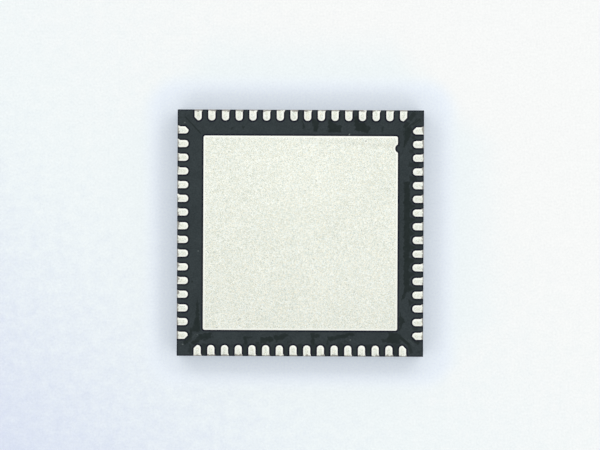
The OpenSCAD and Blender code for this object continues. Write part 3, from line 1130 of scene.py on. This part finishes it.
# %% [markdown]
# ## The mould's marked face
#
# This face was moulded against steel that is finely eroded, so it is evenly matt with a soft
# grain. It carries no marking here: the part is a plain one. The grain drives colour, roughness
# and relief.

# %% Marked face of the mould
FACE_DARK = (0.017, 0.0195, 0.0215, 1)
FACE_PALE = (0.038, 0.042, 0.045, 1)
FACE_GRAIN = {"Fine Scale": 16.0, "Broad Scale": 2.0, "Fine Share": 0.75}
FACE_ROUGH = (0.7, 0.55)

marked_side, tree, shader, place = finish("mould_marked_side")
mottle = use_group(tree, grain_group, {"Place": place, **FACE_GRAIN})["Mottle"]
tree.links.new(mix(tree, mottle, FACE_DARK, FACE_PALE), shader.inputs["Base Color"])
shader.inputs["Specular IOR Level"].default_value = 0.35
roughness(tree, shader, mottle, *FACE_ROUGH)
bump(tree, shader, mottle, strength=0.4, depth=0.006)

for material in (terminal_side, sawn_side, marked_side):
    mould.data.materials.append(material)
print("Mould has", len(mould.data.materials), "finishes")

# %% [markdown]
# ## What is inside
#
# The die, its adhesive and the gold wires are closed in by the mould. Their CAD meshes are kept,
# and each gets its own finish, so the part can be opened and still look right. All three are
# two-tone grain in different sizes and gloss, so one function makes them.

# %% Silicon, adhesive and gold
BROAD_RATIO = 6
ROUGH_SPREAD = 0.15


def inner_finish(name, dark, pale, scale, metallic, smoothest):
    """A two-tone mottled finish."""
    material, tree, shader, place = finish(name)
    grains = use_group(tree, grain_group, {"Place": place, "Fine Scale": scale,
                                           "Broad Scale": scale / BROAD_RATIO})
    tree.links.new(mix(tree, grains["Fine"], dark, pale), shader.inputs["Base Color"])
    shader.inputs["Metallic"].default_value = metallic
    roughness(tree, shader, grains["Broad"], smoothest, smoothest + ROUGH_SPREAD)
    return material


silicon = inner_finish("silicon", dark=(0.10, 0.11, 0.13, 1), pale=(0.16, 0.17, 0.20, 1),
                       scale=8.0, metallic=0.6, smoothest=0.2)
adhesive = inner_finish("silver_adhesive", dark=(0.42, 0.42, 0.41, 1), pale=(0.62, 0.62, 0.60, 1),
                        scale=25.0, metallic=0.5, smoothest=0.5)
gold = inner_finish("gold_wire", dark=(0.78, 0.52, 0.16, 1), pale=(0.95, 0.68, 0.27, 1),
                    scale=30.0, metallic=1.0, smoothest=0.22)

inner_looks = {"silicon_die": (silicon, "silicon"), "die_attach": (adhesive, "die_adhesive")}
for side in range(1, SIDES + 1):
    inner_looks[f"bond_wires_side_{side}"] = (gold, "gold_wire")
for node, (material, slot) in inner_looks.items():
    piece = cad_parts[node]
    piece.data.materials.clear()
    piece.data.materials.append(material)
print("Inner pieces finished:", len(inner_looks))

# %% [markdown]
# ## Floor
#
# The chip lies on pale paper. The floor glows a little of its own, which is painted light: it
# weakens the chip's small shadow. Close to the chip a blue tint is painted shadow, and within a few
# millimetres of it the painted light is held back, a painted shade halo. Painted light makes it
# whitest up and to the right, and painted shade makes it dullest and bluest in the corner down and
# to the left. Fibres make that change uneven, and a fine tooth gives the paper its grain. The floor
# lies a hair lower than the chip, because two faces in one plane would flicker.

# %% Floor
FLOOR_HALF = 400.0
FLOOR_DROP = 0.004
# Colours of painted shade and light across the floor: a shaded corner down and to the left, a lit side
# up and to the right.
PAPER_SHADED_CORNER = (0.535, 0.550, 0.650, 1)
PAPER_SHADE = (0.724, 0.740, 0.702, 1)
PAPER_LIT = (0.785, 0.755, 0.697, 1)
# Blue tint of the painted shadow close to the chip.
PAPER_SHADOW_TINT = (0.710, 0.730, 0.752, 1)
# The floor's glow is painted light that fills the chip's shadow.
PAPER_FILL_GLOW = (0.165, 0.205, 0.250, 1)
# Direction in which the painted light on the floor grows.
LIGHT_WAY = (0.64, 0.72, 0)
SHADED_CORNER_FULL, SHADED_CORNER_END = -16.5, -2.8
LIT_START, LIT_FULL = -6.3, 7.3
# Reach of the painted shade halo, in which the painted light is held back near the chip.
SHADE_HALO_CORE, SHADE_HALO_FULL, SHADE_HALO_END = HALF_W - 1.2, 2.5, 4.6
SHADE_END, SHADE_FULL = 1.5, 0.75
FIBRE_SCALE, FIBRE_DETAIL, FIBRE_ROUGHNESS = 2.2, 8.0, 0.8
FIBRE_SHIFT, FIBRE_DEPTH = 12.0, 0.1
TOOTH_SCALE, TOOTH_DETAIL, TOOTH_DEPTH = 13.0, 1.0, 0.16

bpy.ops.object.select_all(action="DESELECT")
bpy.ops.mesh.primitive_plane_add(size=2 * FLOOR_HALF * MM, location=(0, 0, -FLOOR_DROP * MM))
floor = bpy.context.object
floor.name = "paper_floor"
paper, tree, shader, place = finish("paper")
axes = split(tree, place)


def past_square(half_width):
    """How far the place lies past a square's sides, along x and along y."""
    sizes = (calc(tree, "ABSOLUTE", axis) for axis in axes[:2])
    return [calc(tree, "MAXIMUM", calc(tree, "SUBTRACT", size, half_width), 0.0) for size in sizes]


fibres = noise(tree, place, FIBRE_SCALE, FIBRE_DETAIL, FIBRE_ROUGHNESS)
fibres = calc(tree, "SUBTRACT", fibres, NOISE_MIDDLE)
# Painted light and shade across the floor, made uneven by the fibres.
towards_light = vector(tree, "DOT_PRODUCT", place, LIGHT_WAY)["Value"]
towards_light = calc(tree, "MULTIPLY_ADD", fibres, FIBRE_SHIFT, towards_light)
colour = mix(tree, fade(tree, towards_light, SHADED_CORNER_FULL, SHADED_CORNER_END), PAPER_SHADED_CORNER, PAPER_SHADE)
# Painted shade: near the chip the painted light is held back.
clear_of_shade_halo = fade(tree, calc(tree, "ADD", *past_square(SHADE_HALO_CORE)), SHADE_HALO_FULL, SHADE_HALO_END)
painted_light_share = fade(tree, towards_light, LIT_START, LIT_FULL)
colour = mix(tree, calc(tree, "MULTIPLY", painted_light_share, clear_of_shade_halo), colour, PAPER_LIT)
# Painted shadow: the floor is bluer close to the chip.
from_chip = add_node(tree, "CombineXYZ", dict(enumerate(past_square(HALF_W)))).outputs[0]
from_chip = vector(tree, "LENGTH", from_chip)["Value"]
colour = mix(tree, fade(tree, from_chip, SHADE_END, SHADE_FULL), colour, PAPER_SHADOW_TINT)
tooth = calc(tree, "SUBTRACT", noise(tree, place, TOOTH_SCALE, TOOTH_DETAIL), NOISE_MIDDLE)
lightness = calc(tree, "MULTIPLY_ADD", fibres, FIBRE_DEPTH, 1.0)
lightness = calc(tree, "MULTIPLY_ADD", tooth, TOOTH_DEPTH, lightness)
tree.links.new(vector(tree, "SCALE", colour, Scale=lightness)[0], shader.inputs["Base Color"])
# Painted light: the floor glows, though it is no lamp.
shader.inputs["Emission Color"].default_value = PAPER_FILL_GLOW
shader.inputs["Emission Strength"].default_value = 1.0
shader.inputs["Specular IOR Level"].default_value = 0.0
shader.inputs["Roughness"].default_value = 0.9
floor.data.materials.append(paper)
print("Floor finish has", len(tree.nodes), "nodes")

# %% [markdown]
# ## Sky
#
# Matt things get part of their light from a pale sky all round. What the metal mirrors is a
# strength of about 1, so the tin renders in the colour that it is written with. In reflections
# the sky is brighter at one side and dimmer near the horizon: a mirror of an even white would
# look like chalk from every side, and it would clip to white where it is brightest.

# %% Sky
SKY_COLOUR = (0.97, 0.98, 1.0, 1)
SKY_ON_MATT, SKY_ON_METAL = 0.4, 1.0
SKY_SLOPE = 0.3
SKY_BRIGHT_SIDE = (0.4, 0.92, 0)
HIGH_SKY_GAIN, LOW_SKY_LOSS = 0.055, 0.22

world = bpy.data.worlds.new("studio")
bpy.context.scene.world = world
world.use_nodes = True
world.cycles.sampling_method = "NONE"
tree = world.node_tree
rays = add_node(tree, "LightPath").outputs
shown = calc(tree, "MAXIMUM", rays["Is Camera Ray"], rays["Is Glossy Ray"])
shown = calc(tree, "MAXIMUM", shown, rays["Is Transmission Ray"])
strength = fade(tree, shown, 0.0, 1.0, SKY_ON_MATT, SKY_ON_METAL)
towards = add_node(tree, "TexCoord").outputs["Generated"]
slope = vector(tree, "DOT_PRODUCT", towards, SKY_BRIGHT_SIDE)["Value"]
slope = calc(tree, "MULTIPLY_ADD", slope, SKY_SLOPE, 1.0)
height = split(tree, towards)["Z"]
lowness = calc(tree, "SUBTRACT", 1.0, calc(tree, "MULTIPLY", height, height))
gain = calc(tree, "MULTIPLY_ADD", lowness, -LOW_SKY_LOSS, HIGH_SKY_GAIN)
slope = calc(tree, "MULTIPLY_ADD", gain, rays["Is Glossy Ray"], slope)
slope = calc(tree, "MAXIMUM", slope, rays["Is Camera Ray"])
sky = tree.nodes["Background"]
sky.inputs["Color"].default_value = SKY_COLOUR
tree.links.new(calc(tree, "MULTIPLY", strength, slope), sky.inputs["Strength"])
print("Sky has", len(tree.nodes), "nodes")

# %% [markdown]
# ## Lamps
#
# Four long soft lamps hang in a square frame above the chip and face down, as in a light tent.
# One lamp straight above would leave no shadow beside a thing this flat; light that comes in
# from all sides at a slant gives the soft shadow along every edge. The right and the back lamp
# are a bit brighter. The lamps are kept out of the metal's reflections, where only the sky shows.

# %% Lamps
LAMP_HEIGHT = 150.0
LAMP_REACH = 150.0
LAMP_W, LAMP_L = 100.0, 400.0
LAMP_RADIANCE = {"right": 1.65, "back": 1.65, "left": 1.38, "front": 1.38}

for number, (name, radiance) in enumerate(LAMP_RADIANCE.items()):
    turn = math.radians(360 / len(LAMP_RADIANCE)) * number
    bpy.ops.object.light_add(type="AREA", rotation=(0, 0, turn), location=(
        LAMP_REACH * MM * math.cos(turn), LAMP_REACH * MM * math.sin(turn), LAMP_HEIGHT * MM))
    lamp = bpy.context.object
    lamp.name = f"lamp_{name}"
    lamp.data.shape = "RECTANGLE"
    lamp.data.size = LAMP_W * MM
    lamp.data.size_y = LAMP_L * MM
    lamp.data.energy = math.pi * radiance * LAMP_W * LAMP_L * MM ** 2
    lamp.visible_glossy = False
    lamp.visible_camera = False
print("Lamps:", list(LAMP_RADIANCE))

# %% [markdown]
# ## Camera
#
# The photograph was taken straight from above. Its scale in pixels per millimetre gives the
# camera's distance, the chip's place in the picture gives the camera's shift to the side, and a
# quarter of a degree of turn sets the chip's edges as they lie in the picture.

# %% Camera
IMAGE_W, IMAGE_H = 600, 450
PIXELS_PER_MM = 27.394
CHIP_PIXEL = (300.4, 233.1)
CHIP_TURN = 0.25
LENS, SENSOR = 100.0, 36.0

distance = IMAGE_W / PIXELS_PER_MM * LENS / SENSOR
aim_x = (IMAGE_W / 2 - CHIP_PIXEL[0]) / PIXELS_PER_MM
aim_y = (CHIP_PIXEL[1] - IMAGE_H / 2) / PIXELS_PER_MM
bpy.ops.object.camera_add(location=(aim_x * MM, aim_y * MM, (TERMINAL_Z + distance) * MM),
                          rotation=(0, 0, math.radians(CHIP_TURN)))
camera = bpy.context.object
camera.data.lens = LENS
camera.data.sensor_width = SENSOR
camera.data.clip_start = MM
bpy.context.scene.camera = camera
bpy.context.scene.view_settings.view_transform = "Standard"
print(f"Camera {distance:.1f} mm above the terminals")
